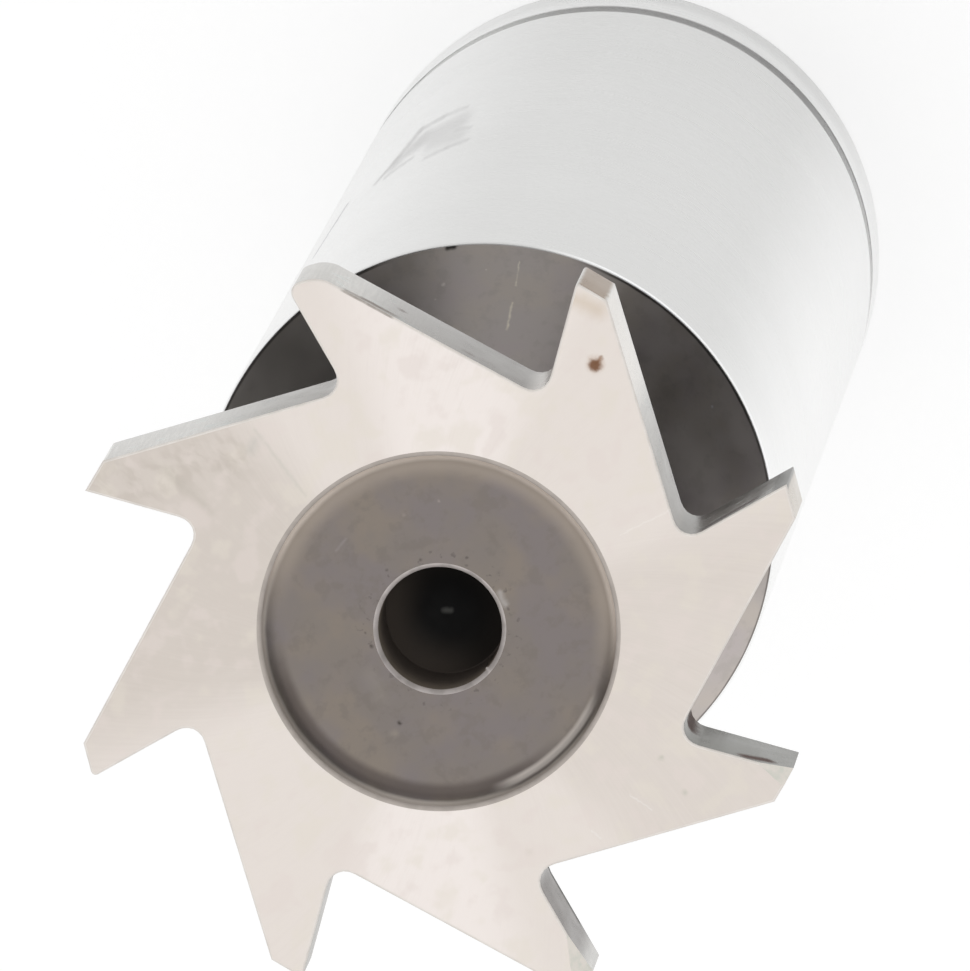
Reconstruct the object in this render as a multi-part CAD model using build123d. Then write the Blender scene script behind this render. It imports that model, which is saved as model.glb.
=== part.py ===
"""Woodruff keyseat cutter for a 3/32 x 5/8 inch key, made from one bar of high speed steel.

Units are millimetres. The origin is the centre of the flat rear end of the shank, and +Z
points to the cutting head, so the cutter stands on its shank. Angles are seen from the
cutting end, anticlockwise from +X. It is a right-hand cutter: seen from there it turns
anticlockwise, and one tooth tip lies exactly on +X.
"""
import os
from math import acos, cos, radians, sin, tan

from build123d import *

INCH = 25.4

# Sizes of the whole tool, from the standard for a 3/32 x 5/8 inch key
head_width = 3 / 32 * INCH                    # 2.38, the width of the keyseat
length_behind_head = 2.0 * INCH               # 50.8, which makes 2 3/32 inch overall
cutter_radius = 0.638 * INCH / 2              # 8.10, nominal 5/8 plus the grinding allowance
shank_radius = 0.500 * INCH / 2               # 6.35
keyseat_depth = 0.2031 * INCH                 # 5.16, what the neck has to clear

# Shank
rear_chamfer = 0.4
groove_centre = 3.5                           # the ring groove near the rear end
groove_width = 1.0
groove_depth = 0.25

# Neck
relief_length = 10.9                          # from the shank's rim to the back of the head
neck_clearance = 0.09
neck_radius = cutter_radius - keyseat_depth - neck_clearance
shoulder_angle = 45.0                         # of the cone between shank and neck
shoulder_fillet = 1.0
head_fillet = 0.5

# Unground recess in the front face
recess_radius = 3.83
recess_depth = 0.32
recess_fillet = 0.60

# Centre holes, one in each end, that the cutter turns between while it is ground
hole_radius = 1.32
hole_depth = 2.0                              # to the end of the straight wall
hole_chamfer = 0.10
drill_point_angle = 118.0

# Teeth
tooth_count = 8
tooth_pitch = 360 / tooth_count
face_rake = 6.2                               # of the cutting face, positive
face_length = 2.60                            # from the cutting edge in to the gash's corner
land_relief = 9.0                             # of the narrow land behind the cutting edge
land_width = 0.76
root_fillet = 0.42

# Ground-away front corners of two teeth, named by the direction of their tips
corner_facets = {
    -45.0: (0.79, 0.38, 0.45),                # along the face, along the land, down the edge
    -90.0: (1.08, 0.42, 0.55),
}

# Heights of the shank's rim and the head's faces
shank_rim = length_behind_head - relief_length
head_rear = length_behind_head
front = head_rear + head_width

# How far the cutting tools reach past the metal
outside = 2.0


def polar(radius: float, angle: float) -> tuple[float, float]:
    """Returns the point at a radius and an angle in degrees."""
    return (radius * cos(radians(angle)), radius * sin(radians(angle)))


def step(point, direction, length) -> tuple[float, float]:
    """Returns the point a length away along a direction."""
    return (point[0] + length * direction[0], point[1] + length * direction[1])


def centre_hole(face: float, inward: int) -> list[tuple[float, float]]:
    """Returns a centre hole's half outline, from its mouth at a face's height to its point."""
    point_height = hole_radius / tan(radians(drill_point_angle / 2))
    return [
        (hole_radius + hole_chamfer, face),
        (hole_radius, face + inward * hole_chamfer),
        (hole_radius, face + inward * hole_depth),
        (0, face + inward * (hole_depth + point_height)),
    ]


def turned_blank() -> Part:
    """Returns the cutter as it leaves the lathe, before the gashes are cut."""
    cone_top = shank_rim + (shank_radius - neck_radius) / tan(radians(shoulder_angle))
    outline = [
        (hole_radius + hole_chamfer, 0),
        (shank_radius - rear_chamfer, 0),
        (shank_radius, rear_chamfer),
        (shank_radius, groove_centre - groove_width / 2),
        (shank_radius - groove_depth, groove_centre - groove_width / 2),
        (shank_radius - groove_depth, groove_centre + groove_width / 2),
        (shank_radius, groove_centre + groove_width / 2),
        (shank_radius, shank_rim),
        (neck_radius, cone_top),
        (neck_radius, head_rear),
        (cutter_radius, head_rear),
        (cutter_radius, front),
        (recess_radius, front),
    ]
    # The recess wall is one arc, tangent to the floor and cut off by the ground front face
    floor = front - recess_depth
    wall_turn = acos(1 - recess_depth / recess_fillet)
    wall_start = recess_radius - recess_fillet * sin(wall_turn)
    wall_middle = (
        wall_start + recess_fillet * sin(wall_turn / 2),
        floor + recess_fillet * (1 - cos(wall_turn / 2)),
    )
    inner = [(wall_start, floor), *centre_hole(floor, -1), *reversed(centre_hole(0, 1))]
    with BuildPart() as blank:
        with BuildSketch(Plane.XZ):
            with BuildLine():
                Polyline(*outline)
                ThreePointArc((recess_radius, front), wall_middle, (wall_start, floor))
                Polyline(*inner)
            make_face()
        revolve(axis=Axis.Z)
        # The neck's lower ring meets the shoulder and its upper ring the back of the head
        for end, radius in ((0, shoulder_fillet), (-1, head_fillet)):
            rings = blank.edges().filter_by(GeomType.CIRCLE).filter_by(
                lambda ring: abs(ring.radius - neck_radius) < 0.001
            )
            fillet(rings.sort_by(Axis.Z)[end], radius)
    return blank.part


def gash() -> Part:
    """Returns the metal that is cut away between the tooth on +X and the one behind it."""
    tip = polar(cutter_radius, 0)
    land = polar(1, -90 - land_relief)
    next_tip = polar(cutter_radius, -tooth_pitch)
    next_face = polar(1, 180 - tooth_pitch + face_rake)
    root = step(next_tip, next_face, face_length)
    reach = cutter_radius + outside
    outline = [
        step(tip, land, -outside / 4),
        step(tip, land, land_width),
        root,
        step(next_tip, next_face, -outside),
        polar(reach + outside, -tooth_pitch / 2),
        polar(reach, 0),
    ]
    with BuildPart() as cut:
        with BuildSketch(Plane.XY.offset(head_rear - outside)):
            with BuildLine():
                Polyline(*outline, close=True)
            make_face()
            corner = vertices().filter_by(
                lambda point: abs(point.X - root[0]) + abs(point.Y - root[1]) < 0.001
            )
            fillet(corner, root_fillet)
        extrude(amount=head_width + 2 * outside)
    return cut.part


def corner_cut(tip_angle: float, along_face: float, along_land: float, down: float) -> Part:
    """Returns the block whose one side is the flat on a tooth's leading front corner."""
    tip = polar(cutter_radius, tip_angle)
    on_face = step(tip, polar(1, tip_angle + 180 + face_rake), along_face)
    on_land = step(tip, polar(1, tip_angle - 90 - land_relief), along_land)
    first = Vector(*on_face, front)
    second = Vector(*on_land, front)
    third = Vector(*tip, front - down)
    normal = (second - first).cross(third - first).normalized()
    if normal.dot(Vector(*tip, front) - first) < 0:
        normal = normal * -1
    middle = (first + second + third) / 3
    flat = Plane(origin=middle, x_dir=(second - first).normalized(), z_dir=normal)
    return flat * Box(outside, outside, outside, align=(Align.CENTER, Align.CENTER, Align.MIN))


def keyseat_cutter() -> Part:
    """Returns the whole cutter as one solid."""
    cutter = turned_blank()
    tooth_gap = gash()
    for index in range(tooth_count):
        cutter -= Rot(0, 0, index * tooth_pitch) * tooth_gap
    for tip_angle, (along_face, along_land, down) in corner_facets.items():
        cutter -= corner_cut(tip_angle, along_face, along_land, down)
    return cutter


os.makedirs("parts", exist_ok=True)

solid = keyseat_cutter()
export_step(solid, "parts/keyseat_cutter.step")
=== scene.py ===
"""Looks of the woodruff keyseat cutter: its detailed mesh, its finishes, the light and the camera.

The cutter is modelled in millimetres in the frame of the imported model: the origin is the centre
of the shank's rear end, and +Z points to the cutting head. The mesh is brought to metres at the
end of the modelling. Angles are seen from the cutting end, anticlockwise from +X.
"""

import logging
from collections.abc import Callable
from dataclasses import dataclass, field
from enum import Enum
from math import cos, hypot, pi, radians, sin, tan

import bmesh
import bpy
from mathutils import Matrix, Vector

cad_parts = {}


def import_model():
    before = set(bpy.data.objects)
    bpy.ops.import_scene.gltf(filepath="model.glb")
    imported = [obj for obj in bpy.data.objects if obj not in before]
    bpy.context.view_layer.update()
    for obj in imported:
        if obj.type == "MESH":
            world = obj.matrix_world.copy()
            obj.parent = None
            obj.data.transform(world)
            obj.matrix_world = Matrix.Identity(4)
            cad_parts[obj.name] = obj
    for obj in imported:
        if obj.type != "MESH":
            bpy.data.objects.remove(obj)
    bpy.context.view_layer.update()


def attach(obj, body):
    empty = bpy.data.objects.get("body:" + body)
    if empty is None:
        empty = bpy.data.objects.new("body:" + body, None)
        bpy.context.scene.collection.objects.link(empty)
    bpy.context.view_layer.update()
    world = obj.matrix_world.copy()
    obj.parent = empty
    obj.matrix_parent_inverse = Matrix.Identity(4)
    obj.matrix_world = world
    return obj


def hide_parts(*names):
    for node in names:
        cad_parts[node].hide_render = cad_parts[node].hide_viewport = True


log = logging.getLogger("keyseat_cutter")

NODE = "keyseat_cutter"
INCH = 25.4
TO_METRES = 0.001
TOUCHING = 0.001            # points closer than this, in millimetres, are one point

# Sizes that several parts of the cutter share, in millimetres
HEAD_REAR = 2.0 * INCH
HEAD_WIDTH = 3 / 32 * INCH
FRONT = HEAD_REAR + HEAD_WIDTH
RECESS_DEPTH = 0.32
RECESS_FLOOR = FRONT - RECESS_DEPTH
CUTTER_RADIUS = 0.638 * INCH / 2
TOOTH_COUNT = 8
TOOTH_POINTS = 32           # of the head's outline, for one tooth
RING_POINTS = TOOTH_COUNT * TOOTH_POINTS

NOISE_MIDDLE = 0.5
STAIN_ROUGHNESS = 0.8

Colour = tuple[float, float, float]
Place = tuple[float, float, float]
Pair = tuple[float, float]
Grain = tuple[float, ...]   # a noise's scale, then its detail and roughness where they are set


def polar(radius: float, angle: float, height: float = 0.0) -> Vector:
    """Finds a point from its radius, its angle from +X in degrees, and its height."""
    return Vector((radius * cos(radians(angle)), radius * sin(radians(angle)), height))


def from_axis(place: Vector) -> float:
    """Finds how far a place is from the cutter's axis."""
    return hypot(place.x, place.y)


def middle_of(edge: bmesh.types.BMEdge) -> Vector:
    """Finds the middle of an edge."""
    return (edge.verts[0].co + edge.verts[1].co) / 2


def is_level(edge: bmesh.types.BMEdge, height: float) -> bool:
    """Tells whether an edge lies level at a height."""
    return all(abs(point.co.z - height) < TOUCHING for point in edge.verts)


class Element(Enum):
    """What a selection in edit mode picks."""

    POINT = "VERT"
    EDGE = "EDGE"
    FACE = "FACE"


@dataclass(frozen=True)
class Corner:
    """A corner of a turned outline: its radius, its height and the rounding it gets."""

    radius: float
    height: float
    rounding: float = 0.0

    @property
    def place(self) -> Vector:
        """The corner's place in the outline's plane."""
        return Vector((self.radius, 0.0, self.height))


class Workbench:
    """One mesh under work in edit mode, with the operators that shape it."""

    def __init__(self, part: bpy.types.Object) -> None:
        """Takes up the active object.

        Args:
            part: The active object.
        """
        self.part = part
        bpy.ops.object.mode_set(mode="EDIT")
        bpy.ops.mesh.select_mode(type=Element.POINT.value)
        bpy.ops.mesh.select_all(action="SELECT")

    @classmethod
    def from_point(cls, name: str, start: Vector) -> "Workbench":
        """Starts a mesh as a single point.

        Args:
            name: The object's name.
            start: Where the point is.

        Returns:
            The bench with the point selected.
        """
        bpy.ops.object.select_all(action="DESELECT")
        bpy.ops.mesh.primitive_plane_add(size=1.0)
        bench = cls(bpy.context.active_object)
        bench.part.name = name
        bpy.ops.mesh.merge(type="CENTER")
        bpy.ops.transform.translate(value=start)
        return bench

    def choose(self, kind: Element, test: Callable) -> None:
        """Selects the elements that pass a test, and nothing else.

        Args:
            kind: What is tested and selected.
            test: Called with each element.
        """
        bpy.ops.mesh.select_mode(type=kind.value)
        bpy.ops.mesh.select_all(action="DESELECT")
        mesh = bmesh.from_edit_mesh(self.part.data)
        elements = {Element.POINT: mesh.verts, Element.EDGE: mesh.edges, Element.FACE: mesh.faces}
        found = [element for element in elements[kind] if test(element)]
        for element in found:
            element.select_set(True)
        mesh.select_flush_mode()
        bmesh.update_edit_mesh(self.part.data)

    def draw_to(self, end: Vector) -> None:
        """Extrudes the selected point to a new place.

        Args:
            end: The new place.
        """
        mesh = bmesh.from_edit_mesh(self.part.data)
        here = next(point.co.copy() for point in mesh.verts if point.select)
        bpy.ops.mesh.extrude_vertices_move(TRANSFORM_OT_translate={"value": end - here})

    def round_corner(self, place: Vector, rounding: float, steps: int) -> None:
        """Rounds a corner of an outline with an arc.

        Args:
            place: Where the corner is.
            rounding: The arc's radius.
            steps: How many edges the arc has.
        """
        self.choose(Element.POINT, lambda point: (point.co - place).length < TOUCHING)
        mesh = bmesh.from_edit_mesh(self.part.data)
        corner = next(point for point in mesh.verts if point.select)
        arms = [edge.other_vert(corner).co - corner.co for edge in corner.link_edges]
        tangent = rounding / tan(arms[0].angle(arms[1]) / 2)
        bpy.ops.mesh.bevel(
            offset_type="OFFSET", offset=tangent, segments=steps, affect="VERTICES", clamp_overlap=False
        )

    def divide(self, near: Vector, cuts: int) -> None:
        """Cuts the edge whose middle is nearest to a place into equal edges.

        Args:
            near: The place.
            cuts: How many cuts are made.
        """
        mesh = bmesh.from_edit_mesh(self.part.data)
        middles = [middle_of(edge) for edge in mesh.edges]
        nearest = min(middles, key=lambda middle: (middle - near).length)
        self.choose(Element.EDGE, lambda edge: (middle_of(edge) - nearest).length < TOUCHING)
        bpy.ops.mesh.subdivide(number_cuts=cuts)

    def spin(self, steps: int, copies: bool = False) -> None:
        """Turns the whole mesh once round the cutter's axis.

        Args:
            steps: How many steps the full turn has.
            copies: True to copy the mesh at each step, False to sweep it.
        """
        bpy.ops.mesh.select_all(action="SELECT")
        bpy.ops.mesh.spin(
            steps=steps, angle=2 * pi, center=(0, 0, 0), axis=(0, 0, 1), dupli=copies
        )
        bpy.ops.mesh.select_all(action="SELECT")
        bpy.ops.mesh.remove_doubles(threshold=TOUCHING)

    def bridge(self, height: float, twist: int) -> None:
        """Closes the flat gap between the two open rings at a height.

        Args:
            height: The height of both rings.
            twist: How many points the bridging edges slant, so that they meet the outline well.
        """
        self.choose(Element.EDGE, lambda edge: edge.is_boundary and is_level(edge, height))
        bpy.ops.mesh.bridge_edge_loops(twist_offset=twist)

    def merge_side(self, height: float, inner: float) -> None:
        """Merges a bridged side face into one flat face for each tooth.

        Args:
            height: The height of the side face.
            inner: A radius between the side face's inner ring and the gashes.
        """
        mesh = bmesh.from_edit_mesh(self.part.data)
        level = [point.co for point in mesh.verts if abs(point.co.z - height) < TOUCHING]
        gash_bottom = min(from_axis(co) for co in level if from_axis(co) > inner)

        def bridges(edge: bmesh.types.BMEdge) -> bool:
            radii = sorted(from_axis(point.co) for point in edge.verts)
            slants = radii[0] < inner and radii[1] > gash_bottom + TOUCHING
            return slants and is_level(edge, height)

        self.choose(Element.EDGE, bridges)
        bpy.ops.mesh.dissolve_edges(use_verts=False)

    def soften(self, test: Callable, width: float, steps: int) -> None:
        """Rounds edges.

        Args:
            test: Called with each edge, true where it is to be rounded.
            width: How far the rounding reaches on both sides of the edge.
            steps: How many faces the rounding has.
        """
        self.choose(Element.EDGE, test)
        bpy.ops.mesh.bevel(offset=width, segments=steps, affect="EDGES", clamp_overlap=False)

    def round_ring(self, radius: float, height: float, width: float, steps: int) -> None:
        """Rounds an edge that runs round the cutter.

        Args:
            radius: The edge's radius.
            height: Its height.
            width: How far the rounding reaches on both sides of the edge.
            steps: How many faces the rounding has.
        """
        self.soften(
            lambda edge: all(
                abs(from_axis(point.co) - radius) + abs(point.co.z - height) < TOUCHING
                for point in edge.verts
            ),
            width,
            steps,
        )

    def face_outwards(self) -> None:
        """Turns all faces outwards."""
        bpy.ops.mesh.select_all(action="SELECT")
        bpy.ops.mesh.normals_make_consistent(inside=False)

    def leave(self) -> bpy.types.Object:
        """Leaves edit mode and returns the object that was made."""
        bpy.ops.object.mode_set(mode="OBJECT")
        return self.part


def turned(name: str, outline: list[Corner], arc_steps: int) -> bpy.types.Object:
    """Makes a turned shell from its half outline.

    Args:
        name: The object's name.
        outline: The corners in order.
        arc_steps: How many edges each rounded corner has.

    Returns:
        The shell, open where the outline doesn't end on the axis.
    """
    bench = Workbench.from_point(name, outline[0].place)
    for corner in outline[1:]:
        bench.draw_to(corner.place)
    for corner in outline:
        if corner.rounding:
            bench.round_corner(corner.place, corner.rounding, arc_steps)
    bench.spin(RING_POINTS)
    return bench.leave()


@dataclass(frozen=True)
class CentreHole:
    """A centre hole, the same in both ends."""

    radius: float = 1.32
    depth: float = 2.0
    chamfer: float = 0.10
    point_angle: float = 118.0

    def outline(self, face: float, inward: int) -> list[Corner]:
        """Finds the hole's half outline, from its mouth to its point.

        Args:
            face: The height of the face that the hole is in.
            inward: 1 where the hole goes up from the face, -1 where it goes down.

        Returns:
            The corners in order.
        """
        cone = self.radius / tan(radians(self.point_angle / 2))
        return [
            Corner(self.radius + self.chamfer, face),
            Corner(self.radius, face + inward * self.chamfer),
            Corner(self.radius, face + inward * self.depth),
            Corner(0.0, face + inward * (self.depth + cone)),
        ]


@dataclass(frozen=True)
class Shank:
    """The shank with its ring groove, the conical shoulder and the neck."""

    radius: float = 0.5 * INCH / 2
    rim_height: float = HEAD_REAR - 10.9
    rim_rounding: float = 0.07
    rear_chamfer: float = 0.4
    groove_height: float = 3.5
    groove_width: float = 1.0
    groove_depth: float = 0.25
    groove_rounding: float = 0.12
    neck_radius: float = CUTTER_RADIUS - 0.2031 * INCH - 0.09
    shoulder_rounding: float = 1.0
    head_rounding: float = 0.5
    back_ring: float = 4.2
    hole: CentreHole = CentreHole()

    def outline(self) -> list[Corner]:
        """Finds the half outline, from the rear hole's point to the back of the head.

        Returns:
            The corners in order.
        """
        low = self.groove_height - self.groove_width / 2
        high = self.groove_height + self.groove_width / 2
        bottom = self.radius - self.groove_depth
        cone_top = self.rim_height + self.radius - self.neck_radius
        return [
            *reversed(self.hole.outline(0.0, 1)),
            Corner(self.radius - self.rear_chamfer, 0.0),
            Corner(self.radius, self.rear_chamfer),
            Corner(self.radius, low),
            Corner(bottom, low, self.groove_rounding),
            Corner(bottom, high, self.groove_rounding),
            Corner(self.radius, high),
            Corner(self.radius, self.rim_height),
            Corner(self.neck_radius, cone_top, self.shoulder_rounding),
            Corner(self.neck_radius, HEAD_REAR, self.head_rounding),
            Corner(self.back_ring, HEAD_REAR),
        ]

    def build(self) -> bpy.types.Object:
        """Turns the shank, the shoulder and the neck, open at the back of the head."""
        return turned("shank", self.outline(), arc_steps=6)

    def round_rim(self, bench: Workbench) -> None:
        """Rounds the edge between the shank and the shoulder a little."""
        bench.round_ring(self.radius, self.rim_height, self.rim_rounding, steps=3)


@dataclass(frozen=True)
class Recess:
    """The unground recess in the front face, with the centre hole in its floor."""

    radius: float = 3.83
    depth: float = RECESS_DEPTH
    rounding: float = 0.60
    rim_rounding: float = 0.06
    burr_angle: float = -63.7
    burr_reach: float = 0.05
    hole: CentreHole = CentreHole()

    @property
    def floor(self) -> float:
        """The height of the recess's floor."""
        return FRONT - self.depth

    def outline(self) -> list[Corner]:
        """Finds the half outline, from the rim to the hole's point.

        Returns:
            The corners in order.
        """
        # The wall is an arc that leaves the floor and is cut off by the front face
        cosine = 1 - self.depth / self.rounding
        sine = (1 - cosine**2) ** 0.5
        arm = self.rounding * (1 - cosine) / sine
        corner = self.radius - self.rounding * sine + arm
        return [
            Corner(self.radius, FRONT),
            Corner(corner, self.floor, self.rounding),
            *self.hole.outline(self.floor, -1),
        ]

    def build(self) -> bpy.types.Object:
        """Turns the recess and the hole, open at the front face."""
        return turned("recess", self.outline(), arc_steps=8)

    def round_rim(self, bench: Workbench) -> None:
        """Rounds the edge between the recess and the front face."""
        bench.round_ring(self.radius, FRONT, self.rim_rounding, steps=4)

    def raise_burr(self, bench: Workbench) -> None:
        """Pushes a small burr from the hole's edge into the hole.

        Args:
            bench: The closed cutter, in edit mode.
        """
        edge_height = self.floor - self.hole.chamfer
        place = polar(self.hole.radius, self.burr_angle, edge_height)
        reach = 2 * pi * self.hole.radius / RING_POINTS
        bench.choose(Element.POINT, lambda point: (point.co - place).length < reach)
        bpy.ops.transform.translate(value=polar(-self.burr_reach, self.burr_angle))


@dataclass(frozen=True)
class CornerFlat:
    """A ground-away front corner of a tooth, by how far it reaches from the tip."""

    tip_angle: float
    along_face: float
    along_land: float
    down: float


@dataclass(frozen=True)
class WornCorner:
    """An upright edge of a tooth that use has rounded."""

    tip_angle: float
    rounding: float
    along_land: float = 0.0      # from the tip, which is the land's leading edge


@dataclass(frozen=True)
class ToothRing:
    """The outline of the toothed head, extruded through its width."""

    rake: float = 6.2
    face_length: float = 2.60
    relief: float = 9.0
    land_width: float = 0.76
    root_rounding: float = 0.42
    root_steps: int = 6
    land_cuts: int = 1
    face_cuts: int = 4
    flats: tuple[CornerFlat, ...] = (
        CornerFlat(-45.0, 0.79, 0.38, 0.45),
        CornerFlat(-90.0, 1.08, 0.42, 0.55),
    )
    worn_corners: tuple[WornCorner, ...] = (
        WornCorner(90.0, 0.34),
        WornCorner(90.0, 0.25, along_land=0.76),
        WornCorner(180.0, 0.14),
        WornCorner(45.0, 0.10),
    )
    worn_steps: int = 8
    front_rounding: float = 0.05
    front_steps: int = 5
    front_angle: float = 60.0    # a front edge is sharper than this, in degrees
    inner_radius: float = 5.2    # inside of all the gashes
    flat_reach: float = 1.5      # of a flat's cut round the tip, in its lengths along the face
    flat_gap: float = 0.01       # how far a flat's face may lie from the flat's plane
    flat_slope: float = 0.98     # least cosine between the two directions

    def along_face(self, tip_angle: float, length: float) -> Vector:
        """Finds the point of a cutting face at a length from the tooth's tip, at height 0."""
        return polar(CUTTER_RADIUS, tip_angle) + polar(length, tip_angle + 180 + self.rake)

    def along_land(self, tip_angle: float, length: float) -> Vector:
        """Finds the point of a land at a length from the tooth's tip, at height 0."""
        return polar(CUTTER_RADIUS, tip_angle) + polar(length, tip_angle - 90 - self.relief)

    def build(self) -> bpy.types.Object:
        """Draws one tooth's outline, copies it round and extrudes the ring.

        Returns:
            The ring of walls, open at both side faces.
        """
        rear = Vector((0, 0, HEAD_REAR))
        pitch = 360 / TOOTH_COUNT
        tip = rear + polar(CUTTER_RADIUS, 0)
        heel = rear + self.along_land(0, self.land_width)
        root = rear + self.along_face(-pitch, self.face_length)
        next_tip = rear + polar(CUTTER_RADIUS, -pitch)
        bench = Workbench.from_point("tooth_ring", tip)
        for place in (heel, root, next_tip):
            bench.draw_to(place)
        bench.round_corner(root, self.root_rounding, self.root_steps)
        # Each of the three divided lines has one edge more than it has cuts
        back_cuts = TOOTH_POINTS - self.root_steps - self.land_cuts - self.face_cuts - 3
        bench.divide((tip + heel) / 2, self.land_cuts)
        bench.divide((heel + root) / 2, back_cuts)
        bench.divide((root + next_tip) / 2, self.face_cuts)
        bench.spin(TOOTH_COUNT, copies=True)
        bench.choose(Element.EDGE, lambda edge: True)
        bpy.ops.mesh.extrude_edges_move(TRANSFORM_OT_translate={"value": (0, 0, HEAD_WIDTH)})
        return bench.leave()

    def wear_corners(self, bench: Workbench) -> None:
        """Rounds the worn upright edges.

        Args:
            bench: The closed cutter, in edit mode.
        """
        for worn in self.worn_corners:
            corner = self.along_land(worn.tip_angle, worn.along_land)
            bench.soften(
                lambda edge: all(
                    (point.co.xy - corner.xy).length < TOUCHING for point in edge.verts
                ),
                worn.rounding,
                self.worn_steps,
            )

    def wear_front(self, bench: Workbench) -> None:
        """Rounds the worn front edge of all the teeth.

        Args:
            bench: The closed cutter, in edit mode.
        """
        bench.soften(
            lambda edge: is_level(edge, FRONT)
            and all(from_axis(point.co) > self.inner_radius for point in edge.verts)
            and abs(edge.calc_face_angle(0.0)) > radians(self.front_angle),
            self.front_rounding,
            self.front_steps,
        )

    def flat_plane(self, flat: CornerFlat) -> tuple[Vector, Vector]:
        """Finds the plane of a corner flat.

        Args:
            flat: The flat.

        Returns:
            A point on it and its outward direction.
        """
        front = Vector((0, 0, FRONT))
        tip = front + polar(CUTTER_RADIUS, flat.tip_angle)
        first = front + self.along_face(flat.tip_angle, flat.along_face)
        second = front + self.along_land(flat.tip_angle, flat.along_land)
        third = tip - Vector((0, 0, flat.down))
        outward = (second - first).cross(third - first).normalized()
        if outward.dot(tip - first) < 0:
            outward = -outward
        return first, outward

    def grind_flats(self, bench: Workbench) -> None:
        """Cuts the small flats on the leading front corners.

        Args:
            bench: The closed cutter, in edit mode.
        """
        for flat in self.flats:
            tip = polar(CUTTER_RADIUS, flat.tip_angle, FRONT)
            reach = self.flat_reach * flat.along_face
            bench.choose(
                Element.FACE,
                lambda face: any((point.co - tip).length < reach for point in face.verts),
            )
            place, outward = self.flat_plane(flat)
            bpy.ops.mesh.bisect(
                plane_co=place, plane_no=outward, use_fill=True, clear_outer=True
            )

    def on_flat(self, centre: Vector, normal: Vector) -> bool:
        """Tells whether a face is one of the corner flats.

        Args:
            centre: The face's centre.
            normal: The face's outward direction.

        Returns:
            True where it is.
        """
        planes = [self.flat_plane(flat) for flat in self.flats]
        return any(
            abs((centre - place).dot(outward)) < self.flat_gap
            and normal.dot(outward) > self.flat_slope
            for place, outward in planes
        )


class Flow:
    """A value on its way through a node tree: calculating with it adds Math nodes."""

    def __init__(self, recipe: "Recipe", socket: bpy.types.NodeSocket) -> None:
        """Wraps an output socket of a recipe's node tree."""
        self.recipe = recipe
        self.socket = socket

    def __add__(self, other: "Flow | float") -> "Flow":
        """Adds."""
        return self.recipe.math("ADD", self, other)

    __radd__ = __add__

    def __sub__(self, other: "Flow | float") -> "Flow":
        """Subtracts."""
        return self.recipe.math("SUBTRACT", self, other)

    def __rsub__(self, other: float) -> "Flow":
        """Subtracts this from a number."""
        return self.recipe.math("SUBTRACT", other, self)

    def __mul__(self, other: "Flow | float") -> "Flow":
        """Multiplies."""
        return self.recipe.math("MULTIPLY", self, other)

    __rmul__ = __mul__

    def __truediv__(self, other: "Flow | float") -> "Flow":
        """Divides."""
        return self.recipe.math("DIVIDE", self, other)

    def swing(self, reach: float) -> "Flow":
        """Turns a noise into one that swings round 0, stretched by a reach."""
        return (self - NOISE_MIDDLE) * reach


@dataclass(frozen=True)
class Mark:
    """A small mark on a surface: a round spot, or a stroke where it has an end."""

    start: Place
    width: float
    edge: float                  # width of its soft outline
    colour: Colour
    strength: float
    end: Place | None = None


@dataclass(frozen=True)
class Lobe:
    """A sector of a surface round the axis that differs from the rest."""

    azimuth: float
    half: float                  # half the angle of its core
    edge: float                  # angle of each soft edge
    strength: float = 1.0


@dataclass(frozen=True)
class Arc:
    """A ring round the axis, or a piece of one, that has its own colour."""

    low: float                   # inner radius
    high: float                  # outer radius
    soft: float                  # width of its soft outlines
    colour: Colour
    lobe: Lobe


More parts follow.
